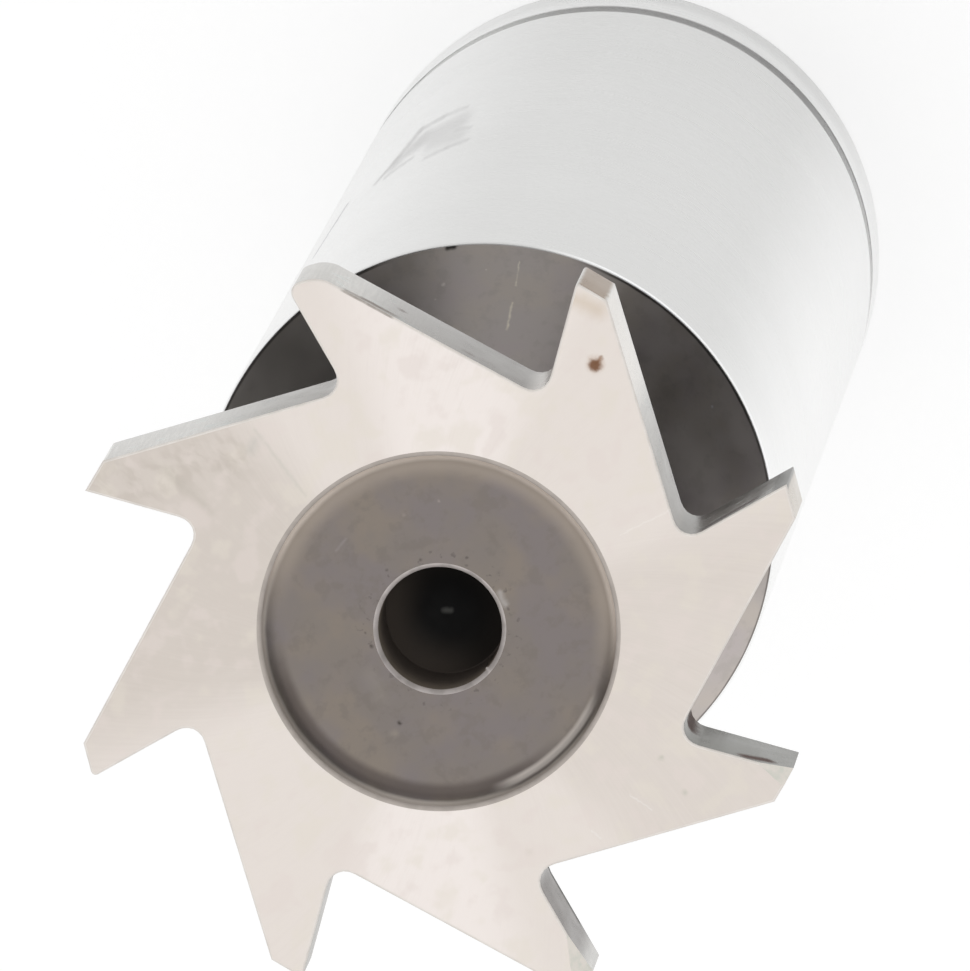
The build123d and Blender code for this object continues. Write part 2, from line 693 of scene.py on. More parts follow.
class Recipe:
    """A node tree that is written as expressions."""

    def __init__(self, tree: bpy.types.NodeTree) -> None:
        """Takes up the node tree of a material or of the world, and empties it."""
        self.tree = tree
        tree.nodes.clear()

    def node(self, kind: str, settings: dict | None = None, inputs: dict | None = None) -> bpy.types.Node:
        """Adds a node.

        Args:
            kind: The node's type.
            settings: Its settings, which are set first.
            inputs: The values or flows of its sockets, by name or number.

        Returns:
            The node.
        """
        made = self.tree.nodes.new(kind)
        for name, value in (settings or {}).items():
            setattr(made, name, value)
        for key, value in (inputs or {}).items():
            if isinstance(value, Flow):
                self.tree.links.new(value.socket, made.inputs[key])
            else:
                made.inputs[key].default_value = value
        return made

    def math(self, operation: str, *values: "Flow | float") -> Flow:
        """Adds a Math node and returns its result."""
        made = self.node("ShaderNodeMath", {"operation": operation}, dict(enumerate(values)))
        return Flow(self, made.outputs[0])

    def vector(self, operation: str, *values: "Flow | Vector", **numbers: "Flow | float") -> Flow:
        """Adds a Vector Math node.

        Args:
            operation: What it does.
            values: The vectors it works on.
            numbers: Its other sockets, such as the Scale of a scaling.

        Returns:
            Its number where it gives one, or else its vector.
        """
        inputs = dict(enumerate(values)) | numbers
        made = self.node("ShaderNodeVectorMath", {"operation": operation}, inputs)
        gives_number = operation in ("LENGTH", "DISTANCE", "DOT_PRODUCT")
        return Flow(self, made.outputs["Value" if gives_number else "Vector"])

    def combine(self, x: "Flow | float", y: "Flow | float", z: "Flow | float") -> Flow:
        """Joins three numbers to a vector."""
        made = self.node("ShaderNodeCombineXYZ", inputs={"X": x, "Y": y, "Z": z})
        return Flow(self, made.outputs["Vector"])

    def split(self, vector: Flow) -> tuple[Flow, Flow, Flow]:
        """Splits a vector into its three numbers."""
        made = self.node("ShaderNodeSeparateXYZ", inputs={"Vector": vector})
        return tuple(Flow(self, made.outputs[axis]) for axis in "XYZ")

    def place(self) -> Flow:
        """Finds the shaded point's place on the cutter, in millimetres."""
        made = self.node("ShaderNodeTexCoord")
        return self.vector("SCALE", Flow(self, made.outputs["Object"]), Scale=1 / TO_METRES)

    def noise(
        self, place: Flow, scale: float, detail: float = 2.0, rough: float = 0.5, output: str = "Fac"
    ) -> Flow:
        """Adds a noise.

        Args:
            place: Where the noise is read.
            scale: How many of its grains there are on a millimetre.
            detail: How many finer noises are added to it.
            rough: How strong they are.
            output: Fac for a number, Color for three of them.

        Returns:
            The noise, from about 0.2 to 0.8.
        """
        inputs = {"Vector": place, "Scale": scale, "Detail": detail, "Roughness": rough}
        return Flow(self, self.node("ShaderNodeTexNoise", inputs=inputs).outputs[output])

    def ramp(self, value: "Flow | float", low: float, high: float) -> Flow:
        """Turns a value into a smooth step.

        Args:
            value: The value.
            low: Where the step is 0.
            high: Where the step is 1, which may be less than low.

        Returns:
            The step.
        """
        inputs = {"Value": value, "From Min": low, "From Max": high}
        made = self.node("ShaderNodeMapRange", {"interpolation_type": "SMOOTHSTEP"}, inputs)
        return Flow(self, made.outputs["Result"])

    def mix(self, share: "Flow | float", first: "Flow | Colour", second: "Flow | Colour") -> Flow:
        """Mixes two colours.

        Args:
            share: How much there is of the second colour.
            first: The first colour.
            second: The second colour.

        Returns:
            The mixed colour.
        """
        colours = [c if isinstance(c, Flow) else (*c, 1.0) for c in (first, second)]
        inputs = {0: share, 6: colours[0], 7: colours[1]}
        made = self.node("ShaderNodeMix", {"data_type": "RGBA"}, inputs)
        return Flow(self, made.outputs[2])

    def outwards(self, place: Flow) -> Flow:
        """Finds the way from the cutter's axis to a place."""
        return self.vector("MULTIPLY", place, Vector((1, 1, 0)))

    def radius(self, place: Flow) -> Flow:
        """Finds the distance from the cutter's axis."""
        return self.vector("LENGTH", self.outwards(place))

    def lobes(self, place: Flow, *lobes: Lobe) -> Flow:
        """Masks sectors round the cutter's axis.

        Args:
            place: The shaded point's place.
            lobes: The sectors, which don't meet.

        Returns:
            The mask, as strong as each lobe in its core.
        """
        parts = []
        for lobe in lobes:
            ray = self.vector("NORMALIZE", self.outwards(place))
            cosine = self.vector("DOT_PRODUCT", ray, polar(1.0, lobe.azimuth))
            outer = cos(radians(lobe.half + lobe.edge))
            parts.append(self.ramp(cosine, outer, cos(radians(lobe.half))) * lobe.strength)
        return sum(parts[1:], parts[0])

    def band(self, value: Flow, low: float, high: float, edge: float) -> Flow:
        """Masks the values between two limits.

        Args:
            value: The value.
            low: The lower limit, at the middle of the mask's edge.
            high: The upper limit.
            edge: The width of the mask's soft edges.

        Returns:
            The mask, 1 between the limits.
        """
        rise = self.ramp(value, low - edge / 2, low + edge / 2)
        return rise * self.ramp(value, high + edge / 2, high - edge / 2)

    def warp(self, place: Flow, scale: float, reach: float) -> Flow:
        """Shifts a place by a noise, so that marks get uneven outlines.

        Args:
            place: The place.
            scale: How many of the noise's grains there are on a millimetre.
            reach: How far it shifts at most, in millimetres.

        Returns:
            The shifted place.
        """
        noise = self.noise(place, scale, detail=3.0, output="Color")
        push = self.vector("SUBTRACT", noise, Vector((NOISE_MIDDLE,) * 3))
        return self.vector("ADD", place, self.vector("SCALE", push, Scale=2 * reach))

    def mark(self, place: Flow, mark: Mark) -> Flow:
        """Masks a mark.

        Args:
            place: The shaded point's place.
            mark: The mark.

        Returns:
            The mask, as strong as the mark in its middle.
        """
        start = Vector(mark.start)
        if mark.end is None:
            distance = self.vector("DISTANCE", place, start)
        else:
            run = Vector(mark.end) - start
            from_start = self.vector("SUBTRACT", place, start)
            along = self.vector("DOT_PRODUCT", from_start, run) * (1 / run.length_squared)
            inside = self.math("MINIMUM", self.math("MAXIMUM", along, 0.0), 1.0)
            distance = self.vector("DISTANCE", from_start, self.vector("SCALE", run, Scale=inside))
        outer = (mark.width + mark.edge) / 2
        return self.ramp(distance, outer, outer - mark.edge) * mark.strength

    def marked(self, place: Flow, colour: Flow, marks: tuple[Mark, ...]) -> Flow:
        """Paints marks over a colour.

        Args:
            place: The shaded point's place.
            colour: The colour.
            marks: The marks, the lowest first.

        Returns:
            The colour with the marks.
        """
        for mark in marks:
            colour = self.mix(self.mark(place, mark), colour, mark.colour)
        return colour

    def cover(self, place: Flow, marks: tuple[Mark, ...]) -> Flow:
        """Masks all of the marks.

        Args:
            place: The shaded point's place.
            marks: The marks.

        Returns:
            The mask, as strong as the strongest mark.
        """
        share = self.mark(place, marks[0])
        for mark in marks[1:]:
            share = self.math("MAXIMUM", share, self.mark(place, mark))
        return share

    def arcs(self, place: Flow, colour: Flow, arcs: tuple[Arc, ...]) -> Flow:
        """Paints arcs over a colour.

        Args:
            place: The shaded point's place.
            colour: The colour.
            arcs: The arcs, the lowest first.

        Returns:
            The colour with the arcs.
        """
        radius = self.radius(place)
        for arc in arcs:
            share = self.band(radius, arc.low, arc.high, arc.soft) * self.lobes(place, arc.lobe)
            colour = self.mix(share, colour, arc.colour)
        return colour

    def bump(self, height: Flow, depth: float) -> Flow:
        """Turns a height from 0 to 1 into a surface direction, 1 being depth millimetres."""
        inputs = {"Distance": depth * TO_METRES, "Height": height}
        return Flow(self, self.node("ShaderNodeBump", inputs=inputs).outputs["Normal"])

    def shader(self, kind: str, inputs: dict) -> Flow:
        """Adds a shader node and returns its shader."""
        return Flow(self, self.node(kind, inputs=inputs).outputs[0])

    def end(self, shader: Flow, output: str = "ShaderNodeOutputMaterial") -> None:
        """Ends the tree with a shader."""
        self.node(output, inputs={"Surface": shader})

    def steel(
        self,
        colour: Flow,
        roughness: Flow,
        normal: Flow,
        metallic: "Flow | float" = 1.0,
        gloss: float = 0.5,
        stain: Flow | None = None,
    ) -> None:
        """Ends the tree in a steel surface.

        Args:
            colour: The base colour.
            roughness: How rough it is.
            normal: The surface direction.
            metallic: How much of the surface is bare metal.
            gloss: How strongly what isn't metal shines.
            stain: How much of it a dull stain of the same colour covers.
        """
        inputs = {
            "Base Color": colour,
            "Roughness": roughness,
            "Metallic": metallic,
            "Specular IOR Level": gloss,
            "Normal": normal,
        }
        surface = self.shader("ShaderNodeBsdfPrincipled", inputs)
        if stain is not None:
            inputs = {"Base Color": colour, "Roughness": STAIN_ROUGHNESS, "Specular IOR Level": 0.0}
            dull = self.shader("ShaderNodeBsdfPrincipled", inputs)
            surface = self.shader("ShaderNodeMixShader", {0: stain, 1: surface, 2: dull})
        self.end(surface)


def new_material(name: str) -> tuple[bpy.types.Material, Recipe]:
    """Makes a material and the recipe of its node tree."""
    made = bpy.data.materials.new(name)
    made.use_nodes = True
    return made, Recipe(made.node_tree)


class Finish:
    """A surface finish of the cutter. Its warps are a number of grains and a reach."""

    name = "finish"
    uneven = 0.2                 # how far a noise moves the roughness

    def paint(self, recipe: Recipe) -> None:
        """Writes the finish's nodes.

        Args:
            recipe: The material's node tree.
        """
        raise NotImplementedError

    def material(self) -> bpy.types.Material:
        """Makes the finish's material."""
        made, recipe = new_material(self.name)
        self.paint(recipe)
        return made


@dataclass(frozen=True)
class GroundSide(Finish):
    """The side faces of the head, ground with a cup wheel that leaves slanting rays."""

    name = "ground_side_face"
    plain: Colour = (0.800, 0.738, 0.690)
    # bright and dull are also the colours of the painted sheen and painted shade sectors below
    bright: Colour = (0.885, 0.822, 0.785)
    dull: Colour = (0.672, 0.612, 0.560)
    cream: Colour = (0.780, 0.725, 0.640)
    rose: Colour = (0.775, 0.695, 0.655)
    roughness: float = 0.34
    uneven: float = 0.18
    depth: float = 0.0025
    fine_rays: float = 95.0      # grains on a radian
    broad_rays: float = 19.0
    ray_length: float = 0.5      # grains on a millimetre along a ray
    slant: float = 0.055         # radians that a ray turns in a millimetre
    ray_grain: Grain = (1.0, 3.0, 0.6)
    patch_grain: Grain = (0.45,)
    fine_tone: float = 0.36      # how far the fine rays move the tone
    broad_tone: float = 0.24
    patch_tone: float = 0.3
    glint_tone: float = 0.5      # share of those tones in the glints
    fine_height: float = 0.7     # share of the fine rays in the relief
    broad_height: float = 0.3
    tint_grain: Grain = (1.2, 3.0)
    tint_strength: float = 0.4
    cream_step: Pair = (0.52, 0.66)
    rose_step: Pair = (0.46, 0.34)
    # Sectors round the axis painted lighter, a painted sheen on the ground face, or darker, a painted shade
    painted_glints: tuple[Lobe, ...] = (Lobe(63.6, 7.0, 17.0), Lobe(-116.4, 7.0, 15.0))
    painted_shades: tuple[Lobe, ...] = (Lobe(142.6, 22.0, 20.0), Lobe(-37.4, 28.0, 14.0, 0.5))
    rust: Mark = Mark((5.387, 3.953, FRONT), 0.25, 0.12, (0.20, 0.085, 0.035), 0.95)
    rust_roughness: float = 0.3
    rust_cover: float = 0.9      # share of the metal that it hides
    hatched: Mark = Mark(
        (-2.6, 5.2, FRONT), 1.0, 0.8, (0.53, 0.475, 0.42), 0.46, (-5.4, 5.6, FRONT)
    )
    hatch_direction: float = -63.4
    hatch_warp: Pair = (1.6, 0.25)
    hatch_grains: Pair = (4.5, 2.0)     # on a millimetre across and along the strokes
    hatch_grain: Grain = (1.0, 4.0)
    hatch_step: Pair = (0.40, 0.66)
    mark_warp: Pair = (9.0, 0.05)
    marks: tuple[Mark, ...] = (
        Mark((7.215, 0.439, FRONT), 0.10, 0.12, (0.90, 0.87, 0.84), 0.8, (7.30, 0.46, FRONT)),
        Mark((4.404, 0.393, FRONT), 0.02, 0.05, (0.90, 0.86, 0.82), 0.55, (6.08, 0.50, FRONT)),
        Mark((3.272, -4.36, FRONT), 0.08, 0.14, (0.50, 0.50, 0.42), 0.6),
        Mark((3.444, -5.244, FRONT), 0.08, 0.14, (0.50, 0.50, 0.42), 0.6),
        Mark((2.34, -4.835, FRONT), 0.02, 0.05, (0.88, 0.85, 0.82), 0.6, (2.642, -5.316, FRONT)),
        Mark((1.259, -5.224, FRONT), 0.02, 0.05, (0.88, 0.85, 0.82), 0.6, (1.406, -5.474, FRONT)),
        Mark((-0.145, -5.123, FRONT), 0.10, 0.20, (0.70, 0.64, 0.58), 0.6),
        Mark((5.45, 5.55, FRONT), 0.25, 0.45, (0.62, 0.51, 0.39), 0.6, (5.93, 5.00, FRONT)),
        Mark((-1.95, 5.30, FRONT), 0.16, 0.24, (0.50, 0.50, 0.46), 0.35, (-2.10, 5.16, FRONT)),
        Mark((-1.85, 5.51, FRONT), 0.05, 0.12, (0.58, 0.56, 0.50), 0.5, (-1.43, 3.81, FRONT)),
        Mark((-3.97, 5.48, FRONT), 0.10, 0.30, (0.50, 0.46, 0.40), 0.5, (-3.43, 4.31, FRONT)),
        Mark((5.40, 3.965, FRONT), 0.30, 0.22, (0.46, 0.31, 0.21), 0.7),
        Mark((5.42, 3.97, FRONT), 0.06, 0.07, (0.30, 0.17, 0.10), 0.8, (5.58, 4.05, FRONT)),
    )

    def ray_noise(self, recipe: Recipe, place: Flow, rays: float, slant: float) -> Flow:
        """Makes a noise that is drawn out into slanting rays.

        Args:
            recipe: The material's node tree.
            place: The shaded point's place.
            rays: How many grains there are on a radian.
            slant: How much they turn in a millimetre.

        Returns:
            The noise.
        """
        x, y, z = recipe.split(place)
        radius = recipe.radius(place)
        turn = radius * slant
        along = recipe.math("COSINE", turn)
        across = recipe.math("SINE", turn)
        ray = recipe.combine(
            (x * along - y * across) / radius * rays,
            (x * across + y * along) / radius * rays,
            radius * self.ray_length + z * self.ray_length,
        )
        return recipe.noise(ray, *self.ray_grain)

    def hatch(self, recipe: Recipe, place: Flow) -> Flow:
        """Masks the oblique soft strokes on one tooth.

        Args:
            recipe: The material's node tree.
            place: The shaded point's place.

        Returns:
            The mask.
        """
        uneven = recipe.warp(place, *self.hatch_warp)
        along = recipe.vector("DOT_PRODUCT", uneven, polar(1.0, self.hatch_direction))
        across = recipe.vector("DOT_PRODUCT", uneven, polar(1.0, self.hatch_direction + 90))
        strokes = recipe.combine(across * self.hatch_grains[0], along * self.hatch_grains[1], 0.0)
        strokes = recipe.ramp(recipe.noise(strokes, *self.hatch_grain), *self.hatch_step)
        return strokes * recipe.mark(place, self.hatched)

    def paint(self, recipe: Recipe) -> None:
        """Writes the finish's nodes.

        Args:
            recipe: The material's node tree.
        """
        place = recipe.place()
        fine = self.ray_noise(recipe, place, self.fine_rays, self.slant)
        broad = self.ray_noise(recipe, place, self.broad_rays, -self.slant)
        patches = recipe.noise(place, *self.patch_grain)
        grind = fine.swing(self.fine_tone) + broad.swing(self.broad_tone)
        grind = grind + patches.swing(self.patch_tone)
        # painted sheen in the lighter sectors and painted shade in the darker ones, both moved by the
        # grinding's tone
        painted_glint = recipe.lobes(place, *self.painted_glints) + grind * self.glint_tone
        colour = recipe.mix(painted_glint, self.plain, self.bright)
        colour = recipe.mix(recipe.lobes(place, *self.painted_shades) + grind, colour, self.dull)
        tint = recipe.noise(place, *self.tint_grain)
        for step, tinted in ((self.cream_step, self.cream), (self.rose_step, self.rose)):
            colour = recipe.mix(recipe.ramp(tint, *step) * self.tint_strength, colour, tinted)
        colour = recipe.mix(self.hatch(recipe, place), colour, self.hatched.colour)
        uneven = recipe.warp(place, *self.mark_warp)
        colour = recipe.marked(uneven, colour, self.marks)
        rust = recipe.mark(uneven, self.rust)
        colour = recipe.mix(rust, colour, self.rust.colour)
        roughness = self.roughness + fine.swing(self.uneven) + rust * self.rust_roughness
        normal = recipe.bump(fine * self.fine_height + broad * self.broad_height, self.depth)
        recipe.steel(colour, roughness, normal, 1.0 - rust * self.rust_cover)


@dataclass(frozen=True)
class GashWall(Finish):
    """The walls of the gashes, ground along the cutter's axis."""

    name = "gash_wall"
    bright: Colour = (0.60, 0.585, 0.555)
    dull: Colour = (0.445, 0.435, 0.41)
    tinted: Colour = (0.52, 0.555, 0.535)
    # The root colour is painted shade: the walls darken towards the gash roots, between the two radii below
    root: Colour = (0.20, 0.185, 0.165)
    root_shade_radii: Pair = (6.9, 5.4)
    roughness: float = 0.25
    depth: float = 0.002
    line_grains: Pair = (14.0, 0.8)     # on a millimetre across and along the lines
    line_grain: Grain = (1.0, 3.0)
    patch_grain: Grain = (1.6, 3.0)
    line_tone: float = 0.4
    patch_tone: float = 0.6
    bright_step: Pair = (0.3, 0.7)
    tinted_step: Pair = (0.55, 0.68)
    tinted_strength: float = 0.6
    tone_warp: Pair = (3.0, 0.04)
    mark_warp: Pair = (5.0, 0.08)
    # Arcs over single walls and lands. The dark arcs on the cutting faces and on one back are painted
    # reflection and painted shade, the bright arc on another back is a painted reflection, and the three
    # narrow arcs at the lands, from 7.98 outwards, tint the lands
    tones: tuple[Arc, ...] = (
        Arc(7.70, 8.30, 0.30, (0.06, 0.06, 0.05), Lobe(-0.2, 0.8, 0.8, 0.85)),
        Arc(5.0, 7.70, 0.30, (0.16, 0.155, 0.145), Lobe(-2.0, 1.6, 1.2, 0.5)),
        Arc(5.0, 8.30, 0.50, (0.06, 0.06, 0.045), Lobe(-46.6, 2.0, 1.5, 0.8)),
        Arc(5.7, 7.70, 0.60, (0.06, 0.04, 0.03), Lobe(-91.6, 2.0, 1.5, 0.85)),
        Arc(5.0, 8.30, 0.30, (0.22, 0.20, 0.17), Lobe(-136.6, 2.0, 1.5, 0.8)),
        Arc(4.0, 7.75, 0.40, (0.18, 0.165, 0.155), Lobe(58.0, 14.0, 9.0, 0.62)),
        Arc(4.0, 8.02, 0.20, (0.86, 0.82, 0.77), Lobe(35.5, 3.5, 9.0, 0.6)),
        Arc(7.98, 8.30, 0.03, (0.23, 0.15, 0.085), Lobe(42.2, 1.9, 0.8, 0.95)),
        Arc(7.98, 8.30, 0.03, (0.90, 0.90, 0.87), Lobe(132.3, 2.4, 0.8, 0.9)),
        Arc(7.98, 8.30, 0.03, (0.58, 0.53, 0.465), Lobe(-3.1, 2.0, 0.8, 0.9)),
    )
    marks: tuple[Mark, ...] = (
        Mark((1.15, 7.47, FRONT - 0.15), 0.15, 0.25, (0.36, 0.32, 0.29), 0.85, (1.85, 6.58, FRONT - 0.25)),
        Mark((1.40, 7.15, FRONT - 0.25), 0.20, 0.25, (0.27, 0.235, 0.21), 0.85, (1.75, 6.71, FRONT - 0.25)),
        Mark((1.91, 6.50, FRONT - 1.2), 0.16, 0.25, (0.28, 0.245, 0.23), 0.8),
        Mark((2.95, 5.17, FRONT - 0.5), 0.20, 0.30, (0.36, 0.33, 0.31), 0.6),
        Mark((4.93, -5.08, FRONT - 0.3), 0.34, 0.25, (0.17, 0.12, 0.11), 0.9, (5.27, -5.36, FRONT - 0.5)),
        Mark((3.96, -4.14, FRONT - 1.2), 0.42, 0.30, (0.15, 0.11, 0.10), 0.9, (3.96, -4.10, HEAD_REAR)),
        Mark((-0.25, -5.82, 50.9), 0.18, 0.22, (0.17, 0.17, 0.155), 0.85, (-0.10, -7.21, 50.9)),
        Mark((6.20, -0.21, FRONT - 0.4), 0.35, 0.35, (0.14, 0.115, 0.115), 0.75, (7.25, -0.09, FRONT - 0.5)),
    )

    def paint(self, recipe: Recipe) -> None:
        """Writes the finish's nodes.

        Args:
            recipe: The material's node tree.
        """
        place = recipe.place()
        x, y, z = recipe.split(place)
        across, along = self.line_grains
        lines = recipe.noise(recipe.combine(x * across, y * across, z * along), *self.line_grain)
        patches = recipe.noise(place, *self.patch_grain)
        tone = lines * self.line_tone + patches * self.patch_tone
        colour = recipe.mix(recipe.ramp(tone, *self.bright_step), self.dull, self.bright)
        tinted = recipe.ramp(patches, *self.tinted_step) * self.tinted_strength
        colour = recipe.mix(tinted, colour, self.tinted)
        # painted shade towards the gash roots
        root_shade = recipe.ramp(recipe.radius(place), *self.root_shade_radii)
        colour = recipe.mix(root_shade, colour, self.root)
        # painted reflections and shade on single walls, and the lands' tints
        colour = recipe.arcs(recipe.warp(place, *self.tone_warp), colour, self.tones)
        uneven = recipe.warp(place, *self.mark_warp)
        recipe.steel(
            recipe.marked(uneven, colour, self.marks),
            self.roughness + patches.swing(self.uneven),
            recipe.bump(lines, self.depth),
            stain=recipe.cover(uneven, self.marks),
        )


FLAT_MARKS = (
    Mark((0.55, -7.70, FRONT), 0.80, 0.60, (0.82, 0.76, 0.70), 0.9),
    Mark((0.26, -7.77, FRONT - 0.3), 0.05, 0.06, (0.20, 0.19, 0.16), 0.8, (0.19, -8.0, FRONT - 0.3)),
)
EDGE_MARKS = (Mark((1.12, 7.51, FRONT), 0.10, 0.12, (0.26, 0.22, 0.19), 0.8, (1.82, 6.62, FRONT)),)


@dataclass(frozen=True)
class MattSteel(Finish):
    """Pale dull steel, where a corner was dressed coarsely or use has dulled an edge."""

    name: str = "dulled_edge"
    pale: Colour = (0.86, 0.81, 0.76)
    stained: Colour = (0.78, 0.73, 0.68)
    grain: Grain = (3.0, 3.0)
    roughness: float = 0.5
    metallic: float = 0.0
    depth: float = 0.002
    stained_step: Pair = (0.35, 0.7)
    mark_warp: Pair = (5.0, 0.06)
    marks: tuple[Mark, ...] = ()

    def paint(self, recipe: Recipe) -> None:
        """Writes the finish's nodes.

        Args:
            recipe: The material's node tree.
        """
        place = recipe.place()
        grain = recipe.noise(place, *self.grain)
        colour = recipe.mix(recipe.ramp(grain, *self.stained_step), self.pale, self.stained)
        colour = recipe.marked(recipe.warp(place, *self.mark_warp), colour, self.marks)
        roughness = self.roughness + grain.swing(self.uneven)
        recipe.steel(colour, roughness, recipe.bump(grain, self.depth), self.metallic)


# Arcs round the recess wall, all painted light and shade: a lighter upper side with a paler rim, a dark
# crescent on the lower left with a lighter rim beside it, and a bright streak with a dark line beside it on
# the lower right
RECESS_PAINTED_LIGHT_AND_SHADE = (
    Arc(3.42, 4.0, 0.44, (0.36, 0.308, 0.262), Lobe(54.6, 70.0, 35.0, 0.9)),
    Arc(3.71, 4.0, 0.16, (0.92, 0.82, 0.73), Lobe(54.6, 66.0, 35.0, 0.9)),
    Arc(3.37, 3.67, 0.20, (0.11, 0.090, 0.082), Lobe(-133.4, 44.0, 26.0, 0.8)),
    Arc(3.71, 4.0, 0.08, (0.70, 0.635, 0.575), Lobe(-133.4, 66.0, 26.0, 0.85)),
    Arc(3.54, 3.70, 0.10, (0.70, 0.64, 0.59), Lobe(-69.9, 13.0, 14.0, 0.8)),
    Arc(3.69, 3.74, 0.05, (0.14, 0.12, 0.11), Lobe(-69.9, 13.0, 12.0, 0.7)),
)
RECESS_MARKS = (
    Mark((-1.80, -1.70, RECESS_FLOOR), 0.10, 0.22, (0.31, 0.275, 0.23), 0.8),
    Mark((-1.612, -1.528, RECESS_FLOOR), 0.08, 0.10, (0.045, 0.038, 0.032), 0.95),
    Mark((-0.523, 1.607, RECESS_FLOOR), 0.04, 0.07, (0.07, 0.06, 0.05), 0.9),
    Mark((0.226, 1.524, RECESS_FLOOR), 0.04, 0.07, (0.07, 0.06, 0.05), 0.8),
    Mark((1.156, 1.175, RECESS_FLOOR), 0.05, 0.07, (0.08, 0.07, 0.06), 0.8),
    Mark((-1.492, 0.233, RECESS_FLOOR), 0.06, 0.08, (0.06, 0.05, 0.045), 0.9),
    Mark((-1.50, 0.55, RECESS_FLOOR), 0.03, 0.06, (0.07, 0.06, 0.05), 0.8),
    Mark((1.102, 2.536, RECESS_FLOOR), 0.03, 0.08, (0.42, 0.38, 0.35), 0.7),
    Mark((-1.058, 2.562, RECESS_FLOOR), 0.03, 0.10, (0.34, 0.31, 0.31), 0.6, (-1.35, 2.42, RECESS_FLOOR)),
    Mark((1.495, -0.05, RECESS_FLOOR), 0.12, 0.14, (0.44, 0.41, 0.39), 0.75, (1.50, 0.20, RECESS_FLOOR)),
    Mark((0.30, 2.55, RECESS_FLOOR), 0.05, 0.10, (0.36, 0.32, 0.30), 0.5),
    Mark((-1.75, -0.35, RECESS_FLOOR), 0.25, 0.45, (0.29, 0.26, 0.23), 0.5, (-1.72, -0.85, RECESS_FLOOR)),
)
# Arcs on the shoulder cone, all painted shade: a darker sector, and thin dark lines just inside the rim over
# three sectors
SHOULDER_PAINTED_SHADE = (
    Arc(3.0, 6.5, 0.10, (0.31, 0.285, 0.265), Lobe(120.0, 16.0, 9.0, 0.9)),
    Arc(6.26, 6.32, 0.03, (0.07, 0.062, 0.058), Lobe(20.0, 16.0, 14.0, 0.9)),
    Arc(6.265, 6.32, 0.02, (0.16, 0.145, 0.135), Lobe(-36.0, 28.0, 10.0, 0.8)),
    Arc(6.25, 6.32, 0.03, (0.08, 0.072, 0.066), Lobe(114.0, 22.0, 8.0, 0.8)),
)
SHOULDER_MARKS = (
    Mark((1.73, 6.03, 39.96), 0.14, 0.10, (0.02, 0.018, 0.016), 0.95, (1.87, 5.99, 39.95)),
    Mark((3.095, 5.152, 40.22), 0.02, 0.05, (0.95, 0.90, 0.76), 0.7, (2.85, 4.76, 40.68)),
    Mark((2.68, 4.48, 41.01), 0.04, 0.06, (0.95, 0.88, 0.72), 0.8, (2.402, 4.036, 41.53)),
    Mark((1.41, 5.39, 40.66), 0.07, 0.08, (0.74, 0.69, 0.65), 0.8),
    Mark((1.15, 5.20, 40.92), 0.02, 0.05, (0.85, 0.80, 0.76), 0.7),
    Mark((2.384, 5.296, 40.42), 0.03, 0.05, (0.85, 0.80, 0.76), 0.7),
    Mark((5.713, 0.589, 40.49), 0.05, 0.06, (0.80, 0.80, 0.82), 0.8),
)


@dataclass(frozen=True)
class UngroundSteel(Finish):
    """Steel as it leaves hardening: a thin dark scale with brown and violet patches."""

    name: str = "recess_scale"
    scale: Colour = (0.235, 0.207, 0.186)
    brown: Colour = (0.252, 0.216, 0.184)
    violet: Colour = (0.226, 0.199, 0.193)
    mottled: Colour = (0.200, 0.174, 0.155)
    roughness: float = 0.42
    metallic: float = 0.8
    depth: float = 0.0025
    patch_grain: Grain = (0.9, 4.0, 0.55)
    tint_grain: Grain = (0.7, 3.0)
    tint_shift: Place = (7, 3, 1)       # keeps the tint from following the other noises
    mottle_grain: Grain = (2.6, 4.0, 0.6)
    fine_grain: Grain = (12.0, 4.0, 0.6)
    violet_step: Pair = (0.38, 0.62)
    scale_step: Pair = (0.42, 0.62)
    scale_strength: float = 0.7
    mottled_step: Pair = (0.50, 0.66)
    mottled_strength: float = 0.5
    speck_grain: Grain = (7.0,)
    speck_step: Pair = (0.60, 0.70)
    speck_strength: float = 0.6
    speck_radii: Pair = (1.42, 1.75)
    speck_edge: float = 0.3
    speck_colour: Colour = (0.12, 0.105, 0.095)
    arc_warp: Pair = (1.5, 0.02)
    mark_warp: Pair = (6.0, 0.05)
    # painted light and shade in arcs round the axis
    arcs: tuple[Arc, ...] = RECESS_PAINTED_LIGHT_AND_SHADE
    marks: tuple[Mark, ...] = RECESS_MARKS

    def paint(self, recipe: Recipe) -> None:
        """Writes the finish's nodes.

        Args:
            recipe: The material's node tree.
        """
        place = recipe.place()
        patches = recipe.noise(place, *self.patch_grain)
        shifted = recipe.vector("ADD", place, Vector(self.tint_shift))
        tint = recipe.ramp(recipe.noise(shifted, *self.tint_grain), *self.violet_step)
        colour = recipe.mix(tint, self.brown, self.violet)
        scale = recipe.ramp(patches, *self.scale_step) * self.scale_strength
        colour = recipe.mix(scale, colour, self.scale)
        mottle = recipe.ramp(recipe.noise(place, *self.mottle_grain), *self.mottled_step)
        colour = recipe.mix(mottle * self.mottled_strength, colour, self.mottled)
        # painted light and shade in arcs round the axis
        colour = recipe.arcs(recipe.warp(place, *self.arc_warp), colour, self.arcs)
        ring = recipe.band(recipe.radius(place), *self.speck_radii, self.speck_edge)
        specks = recipe.ramp(recipe.noise(place, *self.speck_grain), *self.speck_step) * ring
        colour = recipe.mix(specks * self.speck_strength, colour, self.speck_colour)
        colour = recipe.marked(recipe.warp(place, *self.mark_warp), colour, self.marks)
        recipe.steel(
            colour,
            self.roughness + patches.swing(self.uneven),
            recipe.bump(recipe.noise(place, *self.fine_grain), self.depth),
            self.metallic,
        )


